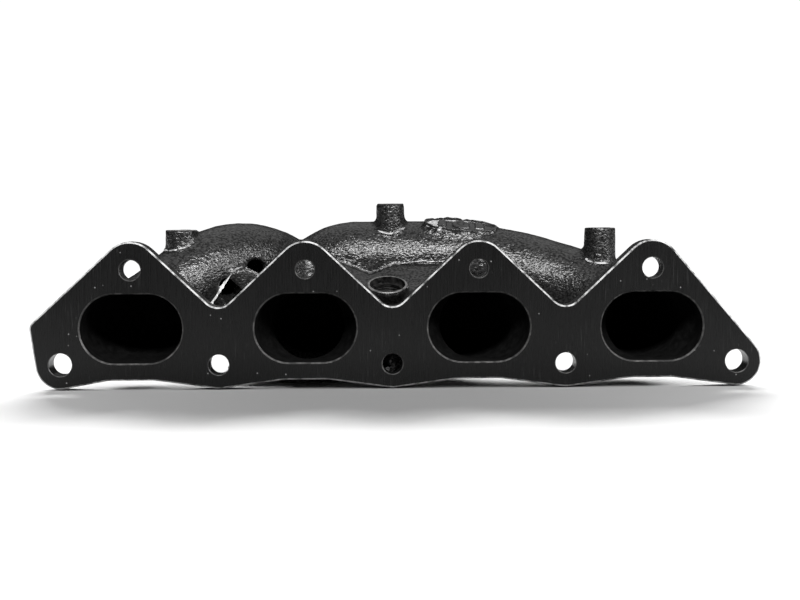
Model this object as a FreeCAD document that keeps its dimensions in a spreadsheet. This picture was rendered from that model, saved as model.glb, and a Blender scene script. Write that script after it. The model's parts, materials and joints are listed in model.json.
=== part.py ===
import FreeCAD, Part
import math
import os

import Sketcher
from FreeCAD import Placement, Rotation, Vector

# Exhaust manifold of a four-cylinder engine: one iron casting, drawn as its named regions.
# Frame: the head flange's sealing face is the plane Y = 0 and faces -Y, X runs along the ports,
# Z is up, and the origin is midway between the two middle ports on their centre line. Millimetres.

doc = FreeCAD.newDocument("ExhaustManifold")

SIZES = {
    # head flange
    "port_pitch": 93.0,
    "port_width": 54.6,
    "port_height": 37.0,
    "flange_thickness": 12.0,
    "edge_break": 0.8,
    "hole_break": 0.4,
    "peak_radius": 15.0,
    "peak_hole_level": 31.4,
    "outer_peak_hole_radius": 5.6,
    "inner_peak_hole_radius": 5.0,
    "notch_radius": 8.5,
    "notch_level": 19.8,
    "lobe_radius": 12.8,
    "low_hole_level": -19.5,
    "low_hole_radius": 5.5,
    "underside_level": -27.7,
    "underside_half_width": 10.0,
    "underside_blend": 25.0,
    "end_hole_radius": 6.2,
    "end_hole_level": -19.0,
    "left_end_hole_place": -177.4,
    "right_end_hole_place": 185.2,
    "end_pad_radius": 13.2,
    "corner_radius": 4.5,
    "corner_place": -188.9,
    "corner_level": 0.2,
    "spot_face_radius": 9.5,
    "spot_face_depth": 0.6,
    # gas passages
    "port_wall": 5.0,
    "runner_radius": 24.0,
    "runner_wall": 4.0,
    "low_run_depth": 58.0,
    # bend radii along the four runners, from the port on
    "elbow_radius": 25.3,
    "low_turn_radius": 30.0,
    "rise_one_radius": 30.0,
    "crest_one_radius": 60.0,
    "drop_one_radius": 27.0,
    "turn_four_radius": 28.0,
    "rise_four_radius": 80.0,
    "crest_four_radius": 200.0,
    "drop_four_radius": 36.0,
    # waypoints of the two upper runners
    "first_waypoint_depth": 40.0,
    "crest_one_place": -97.0,
    "crest_one_depth": 66.0,
    "crest_one_level": 38.0,
    "drop_one_place": -62.0,
    "drop_one_depth": 96.0,
    "drop_one_level": 24.0,
    "rise_four_place": 118.0,
    "rise_four_depth": 72.0,
    "rise_four_level": 14.0,
    "crest_four_place": 51.0,
    "crest_four_depth": 92.0,
    "crest_four_level": 32.8,
    "drop_four_place": -52.0,
    "drop_four_depth": 98.0,
    "drop_four_level": 32.2,
    # collectors and turbocharger flange
    "collector_place": -47.0,
    "upper_collector_place": -55.0,
    "upper_collector_depth": 104.0,
    "upper_dome_level": 8.0,
    "upper_dome_radius": 28.5,
    "lower_dome_radius": 25.2,
    "dome_step": 0.4,
    "turbo_face_level": -33.0,
    "turbo_flange_thickness": 7.5,
    "turbo_flange_width": 92.0,
    "turbo_flange_margin": 11.0,
    "turbo_corner_radius": 15.0,
    "turbo_mouth_width": 46.0,
    "turbo_mouth_depth": 40.0,
    "upper_runner_end_level": -8.0,
    "turbo_mouth_corner": 12.0,
    "turbo_bolt_span_x": 70.0,
    "turbo_bolt_span_y": 84.0,
    "turbo_bolt_radius": 5.25,
    # bosses and pad
    "boss_radius": 8.8,
    "centre_boss_radius": 8.2,
    "boss_draft": 0.5,
    "boss_top_level": 52.2,
    "centre_boss_top_level": 67.0,
    "boss_hole_radius": 3.4,
    "boss_hole_depth": 9.5,
    "left_boss_place": -119.5,
    "left_boss_depth": 50.0,
    "left_boss_length": 24.0,
    "centre_boss_place": 0.0,
    "centre_boss_depth": 85.0,
    "centre_boss_length": 28.0,
    "right_boss_place": 121.5,
    "right_boss_depth": 60.0,
    "right_boss_length": 30.0,
    "sensor_place": -2.3,
    "sensor_rim_depth": 33.0,
    "sensor_rim_level": 20.7,
    "sensor_tilt": 22.0,
    "sensor_rim_radius": 12.0,
    "sensor_foot_radius": 9.5,
    "sensor_mouth_radius": 9.8,
    "sensor_thread_radius": 8.25,
    "sensor_mouth_depth": 3.0,
    "sensor_boss_length": 24.0,
    "badge_length": 44.0,
    "badge_width": 17.5,
    "badge_place": 42.0,
    "badge_depth": 80.5,
    "badge_level": 54.8,
    "badge_tilt": 26.0,
    "badge_roll": 5.5,
    "badge_recess": 1.0,
    "badge_rim": 1.8,
    "badge_block_depth": 11.0,
    "badge_hexagon_radius": 5.5,
    "badge_bar_place": 11.0,
    "badge_bar_width": 4.0,
    "badge_bar_length": 7.0,
    "rib_thickness": 9.0,
    "shoulder_length": 82.0,
    "link_depth": 46.0,
}

# Shares of the way along a port stub at which its sections stand.
PORT_SECTION_SHARES = (0, 0.35, 0.7, 1)
# Degrees from a round section's axis to where its long and short arcs meet, as in the slot it grows from.
ARC_MEETING_ANGLE = 82
# Corners of the ribs as (across, up). The crease is measured along Y from the low run's centre line,
# the tie along X from the origin, and the other three along X from a side of the turbocharger flange
# and up from its top face.
CREASE_CORNERS = [(-12, 18), (4, 30), (18, 31), (26, 12), (6, 8)]
TIE_CORNERS = [(-100, 6), (-97, 24), (-82, 31), (-64, 22), (-64, 6)]
RIGHT_BRACE_CORNERS = [(-46, 0), (-3, 0), (-3, -6.5), (10, -6.5), (22, 8), (-46, 12)]
REAR_BRACE_CORNERS = [(-46, 0), (-7, 0), (25, 42), (-46, 42)]
LEFT_BRACE_CORNERS = [(31, 0), (4, 0), (9, 36), (31, 36)]
# Where the ribs stand across their own planes, measured from the nearest named size.
CREASE_MIDDLE = 2
REAR_BRACE_SETBACK = 2
LEFT_BRACE_SETBACK = 4


def make_sheet():
    sheet = doc.addObject("Spreadsheet::Sheet", "Sizes")
    for row, (alias, value) in enumerate(SIZES.items(), start=1):
        sheet.set("A%d" % row, alias)
        sheet.set("B%d" % row, str(value))
        sheet.setAlias("B%d" % row, alias)
    doc.recompute()
    return sheet


sheet = make_sheet()


def size(alias):
    return float(sheet.get(alias))


def bind(item, prop, expression):
    item.setExpression(prop, expression)


# ---------------------------------------------------------------- outlines

def tangent_outline(circles):
    """A closed chain of arcs and their common tangent lines. Each circle is (x, y, radius);
    the chain runs clockwise, and a negative radius turns the other way."""
    count = len(circles)
    normals = []
    for index in range(count):
        x1, y1, r1 = circles[index]
        x2, y2, r2 = circles[(index + 1) % count]
        length = math.hypot(x2 - x1, y2 - y1)
        heading = math.atan2(y2 - y1, x2 - x1) + math.asin((r2 - r1) / length)
        normals.append(Vector(-math.sin(heading), math.cos(heading), 0))
    ends = []
    for index, (x, y, radius) in enumerate(circles):
        centre = Vector(x, y, 0)
        before = normals[index - 1]
        after = normals[index]
        middle = (before + after).normalize()
        ends.append((centre + before * radius, centre + middle * radius, centre + after * radius))
    curves = []
    for index in range(count):
        start, middle, stop = ends[index]
        if start.distanceToPoint(stop) > 1e-4:
            curves.append(Part.Arc(start, middle, stop))
        following = ends[(index + 1) % count][0]
        curves.append(Part.LineSegment(stop, following))
    return curves


def slot_curves(x, y, width, height):
    """A slot with straight top and bottom and half-round ends."""
    end = height / 2
    half = width / 2 - end
    return [
        Part.LineSegment(Vector(x - half, y + end, 0), Vector(x + half, y + end, 0)),
        Part.Arc(Vector(x + half, y + end, 0), Vector(x + half + end, y, 0), Vector(x + half, y - end, 0)),
        Part.LineSegment(Vector(x + half, y - end, 0), Vector(x - half, y - end, 0)),
        Part.Arc(Vector(x - half, y - end, 0), Vector(x - half - end, y, 0), Vector(x - half, y + end, 0)),
    ]


def rounded_rectangle(x, y, width, height, radius):
    corners = [(-1, 1), (1, 1), (1, -1), (-1, -1)]
    across = width / 2 - radius
    along = height / 2 - radius
    return tangent_outline([(x + sx * across, y + sy * along, radius) for sx, sy in corners])


# ---------------------------------------------------------------- PartDesign helpers

def new_body(label):
    body = doc.addObject("PartDesign::Body", label)
    body.Label = label
    return body


def new_sketch(body, name, role, offset=0.0):
    plane = next(item for item in body.Origin.OriginFeatures if item.Role == role)
    sketch = body.newObject("Sketcher::SketchObject", name)
    sketch.AttachmentSupport = [(plane, "")]
    sketch.MapMode = "FlatFace"
    sketch.AttachmentOffset = Placement(Vector(0, 0, offset), Rotation())
    return sketch


def add_circle(sketch, x, y, alias):
    """A circle whose radius follows a cell of the sheet."""
    index = sketch.addGeometry(Part.Circle(Vector(x, y, 0), Vector(0, 0, 1), size(alias)), False)
    constraint = sketch.addConstraint(Sketcher.Constraint("Radius", index, size(alias)))
    sketch.setExpression("Constraints[%d]" % constraint, "Sizes." + alias)


def pad(body, name, sketch, alias, reverse=False):
    feature = body.newObject("PartDesign::Pad", name)
    feature.Profile = sketch
    feature.Reversed = reverse
    bind(feature, "Length", "Sizes." + alias)
    doc.recompute()
    return feature


def pocket(body, name, sketch, alias=None, reverse=False):
    """A pocket as deep as a cell says, or right through where no cell is given."""
    before = body.Shape.Volume
    feature = body.newObject("PartDesign::Pocket", name)
    feature.Profile = sketch
    feature.Reversed = reverse
    if alias:
        bind(feature, "Length", "Sizes." + alias)
    else:
        feature.Type = "ThroughAll"
    doc.recompute()
    if not body.Shape.Volume < before:
        raise RuntimeError(name + " cuts nothing")
    return feature


def edges_on_plane(shape, axis, level, of_holes):
    """Names of the edges in the plane where the axis coordinate is level: the drilled holes' full
    circles, or all the other edges."""
    names = []
    for number, edge in enumerate(shape.Edges, start=1):
        box = edge.BoundBox
        low = getattr(box, axis + "Min")
        high = getattr(box, axis + "Max")
        flat = abs(low - level) < 1e-4 and abs(high - level) < 1e-4
        if flat and edge.isClosed() == of_holes:
            names.append("Edge%d" % number)
    return names


def break_edges(body, name, base, axis, level):
    """Chamfers the outlines on a face, and the drilled holes on it by less."""
    for suffix, of_holes, alias in (("Outline", False, "edge_break"), ("Holes", True, "hole_break")):
        feature = body.newObject("PartDesign::Chamfer", name + suffix)
        feature.Base = (base, edges_on_plane(base.Shape, axis, level, of_holes))
        bind(feature, "Size", "Sizes." + alias)
        doc.recompute()
        base = feature


# ---------------------------------------------------------------- places worked out from the sizes

def port_places():
    return [size("port_pitch") * step for step in (-1.5, -0.5, 0.5, 1.5)]


def low_hole_places():
    return [size("port_pitch") * step for step in (-1, 0, 1)]


def turbo_centre_depth():
    return (size("low_run_depth") + size("upper_collector_depth")) / 2


def turbo_mouth_gap():
    return size("upper_collector_depth") - size("low_run_depth")


def turbo_top_level():
    return size("turbo_face_level") + size("turbo_flange_thickness")


# ---------------------------------------------------------------- head flange

def head_flange_circles():
    """Clockwise circles of the outline: peaks over the ports, notches between, lobes below."""
    circles = [(size("corner_place"), size("corner_level"), size("corner_radius"))]
    for index, place in enumerate(port_places()):
        circles.append((place, size("peak_hole_level"), size("peak_radius")))
        if index < 3:
            circles.append((place + size("port_pitch") / 2, size("notch_level"), -size("notch_radius")))
    circles.append((size("right_end_hole_place"), size("end_hole_level"), size("end_pad_radius")))
    blend = size("underside_blend")
    for index, place in reversed(list(enumerate(port_places()))):
        for side in (1, -1):
            flat_end = place + side * size("underside_half_width")
            circles.append((flat_end, size("underside_level") - blend, -blend))
        if index > 0:
            lobe = place - size("port_pitch") / 2
            circles.append((lobe, size("low_hole_level"), size("lobe_radius")))
    circles.append((size("left_end_hole_place"), size("end_hole_level"), size("end_pad_radius")))
    return circles


def head_flange_holes():
    outer, inner = "outer_peak_hole_radius", "inner_peak_hole_radius"
    level = size("peak_hole_level")
    holes = [(x, level, alias) for x, alias in zip(port_places(), (outer, inner, inner, outer))]
    holes += [(x, size("low_hole_level"), "low_hole_radius") for x in low_hole_places()]
    for place in (size("left_end_hole_place"), size("right_end_hole_place")):
        holes.append((place, size("end_hole_level"), "end_hole_radius"))
    return holes


def make_head_flange():
    body = new_body("head_flange")
    outline = new_sketch(body, "FlangeOutline", "XZ_Plane")
    outline.addGeometry(tangent_outline(head_flange_circles()), False)
    pad(body, "FlangePlate", outline, "flange_thickness", reverse=True)

    ports = new_sketch(body, "PortMouths", "XZ_Plane")
    for place in port_places():
        ports.addGeometry(slot_curves(place, 0, size("port_width"), size("port_height")), False)
    pocket(body, "Ports", ports)

    holes = new_sketch(body, "StudHoleCentres", "XZ_Plane")
    for x, z, alias in head_flange_holes():
        add_circle(holes, x, z, alias)
    drilled = pocket(body, "StudHoles", holes)
    break_edges(body, "FaceEdgeBreak", drilled, "Y", 0.0)

    seats = new_sketch(body, "NutSeatOutlines", "XZ_Plane", -size("flange_thickness"))
    for x, z, alias in head_flange_holes():
        add_circle(seats, x, z, "spot_face_radius")
    pocket(body, "NutSeats", seats, "spot_face_depth", reverse=True)
    return body


# ---------------------------------------------------------------- runner paths

def bend_path(points, radii):
    """Straight runs through the points, joined by tangent arcs of the given radii."""
    edges = []
    start = points[0]
    for index, radius in enumerate(radii, start=1):
        corner = points[index]
        back = (points[index - 1] - corner).normalize()
        ahead = (points[index + 1] - corner).normalize()
        turn = math.pi - back.getAngle(ahead)
        reach = radius * math.tan(turn / 2)
        first = corner + back * reach
        last = corner + ahead * reach
        towards = (back + ahead).normalize()
        middle = corner + towards * (radius / math.cos(turn / 2) - radius)
        if start.distanceToPoint(first) > 1e-6:
            edges.append(Part.LineSegment(start, first).toShape())
        edges.append(Part.Arc(first, middle, last).toShape())
        start = last
    edges.append(Part.LineSegment(start, points[-1]).toShape())
    return edges


def waypoint(name):
    return Vector(size(name + "_place"), size(name + "_depth"), size(name + "_level"))


def runner_path(number):
    """Edges of a runner's centre line from the back of the head flange to its collector."""
    place = port_places()[number - 1]
    port = Vector(place, size("flange_thickness"), 0)
    low_depth = size("low_run_depth")
    collector = Vector(size("upper_collector_place"), size("upper_collector_depth"), 0)
    upper_end = collector + Vector(0, 0, size("upper_runner_end_level"))
    first = Vector(place, size("first_waypoint_depth"), 0)
    corner = Vector(place, low_depth, 0)
    if number == 1:
        points = [port, first, waypoint("crest_one"), waypoint("drop_one"), upper_end]
        bends = ["rise_one", "crest_one", "drop_one"]
    elif number == 2:
        points = [port, corner, Vector(place, low_depth, turbo_top_level())]
        bends = ["elbow"]
    elif number == 3:
        points = [port, corner, Vector(-place, low_depth, 0)]
        bends = ["low_turn"]
    else:
        middle = [waypoint(name) for name in ("rise_four", "crest_four", "drop_four")]
        points = [port, first] + middle + [upper_end]
        bends = ["turn_four", "rise_four", "crest_four", "drop_four"]
    return bend_path(points, [size(name + "_radius") for name in bends])


def path_frame(edge, fraction):
    """Placement on a path edge: local Z along the path, local Y kept as near up as it can be."""
    first, last = edge.ParameterRange
    value = first + (last - first) * fraction
    point = edge.valueAt(value)
    along = edge.tangentAt(value)
    turn = Rotation(Vector(0, 1, 0), along)
    across = turn.multVec(Vector(-1, 0, 0))
    up = turn.multVec(Vector(0, 0, 1))
    return Placement(point, Rotation(across, up, along, "ZXY"))


# ---------------------------------------------------------------- hollow pieces

def section_wire(half, radius, frame):
    """A slot of half-length `half` and end radius `radius`; at half = 0 it is a circle in four arcs."""
    if half > 0:
        curves = slot_curves(0, 0, 2 * (half + radius), 2 * radius)
    else:
        lean = math.radians(ARC_MEETING_ANGLE)
        corner = Vector(radius * math.cos(lean), radius * math.sin(lean), 0)
        left = Vector(-corner.x, corner.y, 0)
        low_left = Vector(-corner.x, -corner.y, 0)
        low = Vector(corner.x, -corner.y, 0)
        curves = [
            Part.Arc(left, Vector(0, radius, 0), corner),
            Part.Arc(corner, Vector(radius, 0, 0), low),
            Part.Arc(low, Vector(0, -radius, 0), low_left),
            Part.Arc(low_left, Vector(-radius, 0, 0), left),
        ]
    wire = Part.Wire([curve.toShape() for curve in curves])
    wire.Placement = frame
    return wire


def loft(name, wires):
    sections = []
    for number, wire in enumerate(wires, start=1):
        section = doc.addObject("Part::Feature", "%sSection%d" % (name, number))
        section.Shape = wire
        sections.append(section)
    item = doc.addObject("Part::Loft", name)
    item.Sections = sections
    item.Solid = True
    item.Ruled = False
    return item


def port_loft(name, edges, grow):
    """The passage from the port's slot to the round runner, grown outward by a wall at each end."""
    half = (size("port_width") - size("port_height")) / 2
    slot_radius = size("port_height") / 2 + grow[0]
    round_radius = size("runner_radius") - size("runner_wall") + grow[1]
    total = sum(edge.Length for edge in edges)
    wires = []
    for share in PORT_SECTION_SHARES:
        distance = total * share
        for edge in edges:
            if distance <= edge.Length + 1e-6:
                break
            distance -= edge.Length
        frame = path_frame(edge, distance / edge.Length)
        radius = slot_radius + (round_radius - slot_radius) * share
        ease = 1 - share * share * (3 - 2 * share)
        wires.append(section_wire(half * ease if share < 1 else 0, radius, frame))
    return loft(name, wires)


def sweep(name, edges, radius_expression):
    spine = doc.addObject("Part::Feature", name + "Spine")
    spine.Shape = Part.Wire(edges)
    ring = doc.addObject("Part::Circle", name + "Ring")
    bind(ring, "Radius", radius_expression)
    ring.Placement = path_frame(edges[0], 0)
    item = doc.addObject("Part::Sweep", name)
    item.Sections = [ring]
    item.Spine = (spine, ["Edge%d" % (index + 1) for index in range(len(edges))])
    item.Solid = True
    item.Frenet = False
    return item


def ball(name, centre, radius_expression):
    item = doc.addObject("Part::Sphere", name)
    bind(item, "Radius", radius_expression)
    item.Placement = Placement(centre, Rotation())
    return item


def join(name, items):
    item = doc.addObject("Part::MultiFuse", name)
    item.Shapes = items
    return item


def cut_away(label, base, tools):
    tool = tools[0] if len(tools) == 1 else join(label + "Tools", tools)
    item = doc.addObject("Part::Cut", label)
    item.Label = label
    item.Base = base
    item.Tool = tool
    return item


def collector_loft(name, top, radius, grow):
    """From a circle round the dome down to a rounded rectangle on the turbocharger flange."""
    rings = [Part.Wire([Part.Circle(top, Vector(0, 0, 1), radius).toShape()])]
    width = size("turbo_mouth_width") + 2 * grow
    depth = size("turbo_mouth_depth") + 2 * grow
    corner = size("turbo_mouth_corner") + grow
    mouth = rounded_rectangle(size("collector_place"), top.y, width, depth, corner)
    wire = Part.Wire([curve.toShape() for curve in mouth])
    wire.translate(Vector(0, 0, turbo_top_level()))
    return loft(name, rings + [wire])


# ---------------------------------------------------------------- ribs, pads and bosses

def rib(name, corners, middle, thickness_expression, plane="XZ"):
    """A flat plate whose outline is a polygon in the XZ or YZ plane."""
    if plane == "XZ":
        points = [Vector(x, middle, z) for x, z in corners]
        direction = Vector(0, 1, 0)
    else:
        points = [Vector(middle, y, z) for y, z in corners]
        direction = Vector(1, 0, 0)
    outline = doc.addObject("Part::Feature", name + "Outline")
    outline.Shape = Part.makePolygon(points + [points[0]])
    item = doc.addObject("Part::Extrusion", name)
    item.Base = outline
    item.DirMode = "Custom"
    item.Dir = direction
    bind(item, "LengthFwd", thickness_expression)
    item.Symmetric = True
    item.Solid = True
    return item


def shifted(corners, across, up):
    return [(x + across, z + up) for x, z in corners]


def make_rib_blanks():
    """Plates that join neighbouring runners and brace the turbocharger flange, each still
    running on into the walls that will trim it: (label, blank, more walls that trim it)."""
    thickness = "Sizes.rib_thickness"
    low_y, high_y = size("low_run_depth"), size("upper_collector_depth")
    top = turbo_top_level()
    right = size("collector_place") + size("turbo_flange_width") / 2
    left = size("collector_place") - size("turbo_flange_width") / 2
    # fills the crease between the low run to port 3 and the long upper runner behind it
    crease = shifted(CREASE_CORNERS, low_y, 0)
    shoulder = rib("ShoulderBlank", crease, CREASE_MIDDLE, "Sizes.shoulder_length", plane="YZ")
    # ties runner 1 to the stub of port 2
    link = rib("LinkBlank", TIE_CORNERS, size("link_depth"), thickness)
    # from the right side of the flange up to the underside of the low run
    right_rib = rib("RightRibBlank", shifted(RIGHT_BRACE_CORNERS, right, top), low_y, thickness)
    # from the flange's right rear corner up to the underside of the long runner
    gusset = shifted(REAR_BRACE_CORNERS, right, top)
    rear_rib = rib("RearRibBlank", gusset, high_y - REAR_BRACE_SETBACK, thickness)
    # from the flange's left edge up the side of the upper collector
    fin = shifted(LEFT_BRACE_CORNERS, left, top)
    left_rib = rib("LeftRibBlank", fin, high_y - LEFT_BRACE_SETBACK, thickness)
    return [
        ("runner_shoulder", shoulder, []),
        ("runner_link", link, []),
        ("turbo_rib_right", right_rib, [doc.getObject("turbo_flange")]),
        ("turbo_rib_rear", rear_rib, []),
        ("turbo_rib_left", left_rib, []),
    ]


def upright_boss(side, top_alias, radius_alias):
    """A drafted round boss, its top face level, with a blind threaded hole down its axis."""
    top = Vector(size(side + "_boss_place"), size(side + "_boss_depth"), size(top_alias))
    blank = doc.addObject("Part::Cone", "BossBlank_" + side)
    bind(blank, "Radius1", "Sizes.%s + Sizes.boss_draft" % radius_alias)
    bind(blank, "Radius2", "Sizes." + radius_alias)
    bind(blank, "Height", "Sizes.%s_boss_length" % side)
    blank.Placement = Placement(top - Vector(0, 0, size(side + "_boss_length")), Rotation())
    hole = doc.addObject("Part::Cylinder", "BossHole_" + side)
    bind(hole, "Radius", "Sizes.boss_hole_radius")
    bind(hole, "Height", "Sizes.boss_hole_depth")
    hole.Placement = Placement(top - Vector(0, 0, size("boss_hole_depth")), Rotation())
    return blank, hole


def make_sensor_pieces():
    """The tilted oxygen sensor boss and its stepped, threaded bore."""
    rim = Vector(size("sensor_place"), size("sensor_rim_depth"), size("sensor_rim_level"))
    inward = Rotation(Vector(1, 0, 0), 180 + size("sensor_tilt"))
    blank = doc.addObject("Part::Cone", "SensorBlank")
    bind(blank, "Radius1", "Sizes.sensor_rim_radius")
    bind(blank, "Radius2", "Sizes.sensor_foot_radius")
    bind(blank, "Height", "Sizes.sensor_boss_length")
    blank.Placement = Placement(rim, inward)
    thread = doc.addObject("Part::Cylinder", "SensorThread")
    bind(thread, "Radius", "Sizes.sensor_thread_radius")
    bind(thread, "Height", "Sizes.sensor_boss_length")
    thread.Placement = Placement(rim, inward)
    mouth = doc.addObject("Part::Cone", "SensorMouth")
    bind(mouth, "Radius1", "Sizes.sensor_mouth_radius")
    bind(mouth, "Radius2", "Sizes.sensor_thread_radius")
    bind(mouth, "Height", "Sizes.sensor_mouth_depth")
    mouth.Placement = Placement(rim, inward)
    return blank, join("SensorBore", [thread, mouth])


def make_badge_pad(log_outer):
    """A raised oval pad with a rim and a plain hexagon and two bars standing in its recess."""
    length, width = size("badge_length"), size("badge_width")
    place = Vector(size("badge_place"), size("badge_depth"), size("badge_level"))
    turn = Rotation(Vector(0, 1, 0), size("badge_roll"))
    turn = turn.multiply(Rotation(Vector(1, 0, 0), size("badge_tilt")))
    frame = Placement(place, turn)
    emblem_height = size("badge_recess") + 1

    def oval(name, inset, bottom, top):
        outline = doc.addObject("Part::Ellipse", name + "Outline")
        outline.MajorRadius = length / 2 - inset
        outline.MinorRadius = width / 2 - inset
        outline.Placement = frame.multiply(Placement(Vector(0, 0, bottom), Rotation()))
        item = doc.addObject("Part::Extrusion", name)
        item.Base = outline
        item.DirMode = "Custom"
        item.Dir = turn.multVec(Vector(0, 0, 1))
        item.LengthFwd = top - bottom
        item.Solid = True
        return item

    def bar(name, x):
        item = doc.addObject("Part::Box", name)
        bind(item, "Length", "Sizes.badge_bar_width")
        bind(item, "Width", "Sizes.badge_bar_length")
        item.Height = emblem_height
        corner = Vector(x - size("badge_bar_width") / 2, -size("badge_bar_length") / 2, -emblem_height)
        item.Placement = frame.multiply(Placement(corner, Rotation()))
        return item

    block = oval("BadgeBlock", 0, -size("badge_block_depth"), 0)
    recess = oval("BadgeRecess", size("badge_rim"), -size("badge_recess"), 1)
    dished = cut_away("BadgeDish", block, [recess])
    hexagon = doc.addObject("Part::Prism", "BadgeHexagon")
    hexagon.Polygon = 6
    bind(hexagon, "Circumradius", "Sizes.badge_hexagon_radius")
    hexagon.Height = emblem_height
    hexagon.Placement = frame.multiply(Placement(Vector(0, 0, -emblem_height), Rotation()))
    left_bar = bar("BadgeBarLeft", -size("badge_bar_place"))
    right_bar = bar("BadgeBarRight", size("badge_bar_place"))
    raised = join("BadgeRaised", [dished, hexagon, left_bar, right_bar])
    return cut_away("badge_pad", raised, [log_outer])


def make_turbo_flange():
    body = new_body("turbo_flange")
    level = size("turbo_face_level")
    centre_x, centre_y = size("collector_place"), turbo_centre_depth()
    depth = turbo_mouth_gap() + size("turbo_mouth_depth") + 2 * size("turbo_flange_margin")
    outline = new_sketch(body, "TurboOutline", "XY_Plane", level)
    corner = size("turbo_corner_radius")
    plate = rounded_rectangle(centre_x, centre_y, size("turbo_flange_width"), depth, corner)
    outline.addGeometry(plate, False)
    pad(body, "TurboPlate", outline, "turbo_flange_thickness")

    mouths = new_sketch(body, "TurboMouths", "XY_Plane", level)
    for y in (size("low_run_depth"), size("upper_collector_depth")):
        shape = (size("turbo_mouth_width"), size("turbo_mouth_depth"), size("turbo_mouth_corner"))
        mouths.addGeometry(rounded_rectangle(centre_x, y, *shape), False)
    pocket(body, "TurboPassages", mouths, reverse=True)

    bolts = new_sketch(body, "TurboBolts", "XY_Plane", level)
    for side_x in (-0.5, 0.5):
        for side_y in (-0.5, 0.5):
            x = centre_x + side_x * size("turbo_bolt_span_x")
            y = centre_y + side_y * size("turbo_bolt_span_y")
            add_circle(bolts, x, y, "turbo_bolt_radius")
    drilled = pocket(body, "TurboBoltHoles", bolts, reverse=True)
    break_edges(body, "TurboEdgeBreak", drilled, "Z", level)
    return body


# ---------------------------------------------------------------- the casting

def make_casting():
    nodes = [make_head_flange(), make_turbo_flange()]
    port_wall = size("port_wall")
    wall = size("runner_wall")
    outer, inner = {}, {}
    for number in (1, 2, 3, 4):
        edges = runner_path(number)
        split = 2 if number == 1 else 1
        port_outer = port_loft("PortOuter%d" % number, edges[:split], (port_wall, wall))
        port_inner = port_loft("PortInner%d" % number, edges[:split], (0, 0))
        nodes.append(cut_away("port_%d" % number, port_outer, [port_inner]))
        outer[number] = sweep("RunnerOuter%d" % number, edges[split:], "Sizes.runner_radius")
        inner_radius = "Sizes.runner_radius - Sizes.runner_wall"
        inner[number] = sweep("RunnerInner%d" % number, edges[split:], inner_radius)

    low_top = Vector(port_places()[1], size("low_run_depth"), 0)
    high_top = Vector(size("upper_collector_place"), size("upper_collector_depth"), size("upper_dome_level"))
    bore = size("runner_radius") - wall
    step = size("dome_step")
    low_solid = join("LowCollectorOuter", [
        ball("LowDomeOuter", low_top, "Sizes.lower_dome_radius"),
        collector_loft("LowThroatOuter", low_top, size("lower_dome_radius") - step, port_wall),
    ])
    low_void = join("LowCollectorInner", [
        ball("LowDomeInner", low_top, "Sizes.runner_radius - Sizes.runner_wall"),
        collector_loft("LowThroatInner", low_top, bore - step, 0),
    ])
    high_solid = join("HighCollectorOuter", [
        ball("HighDomeOuter", high_top, "Sizes.upper_dome_radius"),
        collector_loft("HighThroatOuter", high_top, size("upper_dome_radius") - step, port_wall),
    ])
    high_void = join("HighCollectorInner", [
        ball("HighDomeInner", high_top, "Sizes.runner_radius - Sizes.runner_wall"),
        collector_loft("HighThroatInner", high_top, bore - step, 0),
    ])
    sensor_blank, sensor_bore = make_sensor_pieces()
    left_blank, left_hole = upright_boss("left", "boss_top_level", "boss_radius")
    centre_blank, centre_hole = upright_boss("centre", "centre_boss_top_level", "centre_boss_radius")
    right_blank, right_hole = upright_boss("right", "boss_top_level", "boss_radius")
    low_voids = [low_void, inner[2], inner[3]]
    high_voids = [high_void, inner[1], inner[4]]
    four_tools = high_voids + [high_solid, low_solid, outer[3], outer[2], centre_hole, right_hole]
    one_tools = high_voids + [high_solid, low_solid, outer[4], outer[2], left_hole]
    nodes.append(cut_away("lower_collector", low_solid, low_voids))
    nodes.append(cut_away("upper_collector", high_solid, high_voids + [low_solid]))
    nodes.append(cut_away("runner_2", outer[2], low_voids + [low_solid, high_solid]))
    nodes.append(cut_away("runner_3", outer[3], low_voids + [low_solid, outer[2], high_solid, sensor_bore]))
    nodes.append(cut_away("runner_4", outer[4], four_tools))
    nodes.append(cut_away("runner_1", outer[1], one_tools))

    nodes.append(cut_away("heat_shield_boss_left", left_blank, [left_hole, outer[1]]))
    nodes.append(cut_away("heat_shield_boss_centre", centre_blank, [centre_hole, outer[4]]))
    nodes.append(cut_away("heat_shield_boss_right", right_blank, [right_hole, outer[4]]))
    nodes.append(cut_away("oxygen_sensor_boss", sensor_blank, [sensor_bore, outer[3]]))
    nodes.append(make_badge_pad(outer[4]))

    solids = [outer[1], outer[2], outer[3], outer[4], low_solid, high_solid]
    for label, blank, more in make_rib_blanks():
        nodes.append(cut_away(label, blank, solids + more))
    doc.recompute()
    return nodes


def check(nodes):
    for item in doc.Objects:
        if "Invalid" in item.State or "Error" in item.State:
            raise RuntimeError("%s failed: %s" % (item.Name, item.State))
    for node in nodes:
        if node.Shape.isNull() or not node.Shape.isValid():
            raise RuntimeError(node.Label + " has no valid shape")
        if not node.Shape.Solids:
            raise RuntimeError(node.Label + " has no solid")


def write(nodes):
    os.makedirs("parts", exist_ok=True)
    for node in nodes:
        node.Shape.exportStep("parts/%s.step" % node.Label)
        print(node.Label, len(node.Shape.Solids), round(node.Shape.Volume))


nodes = make_casting()
check(nodes)
write(nodes)
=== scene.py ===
import itertools
import json
import math

import bmesh
import bpy
import numpy as np
import openvdb
from mathutils import Matrix, Vector
from mathutils.bvhtree import BVHTree


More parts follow.
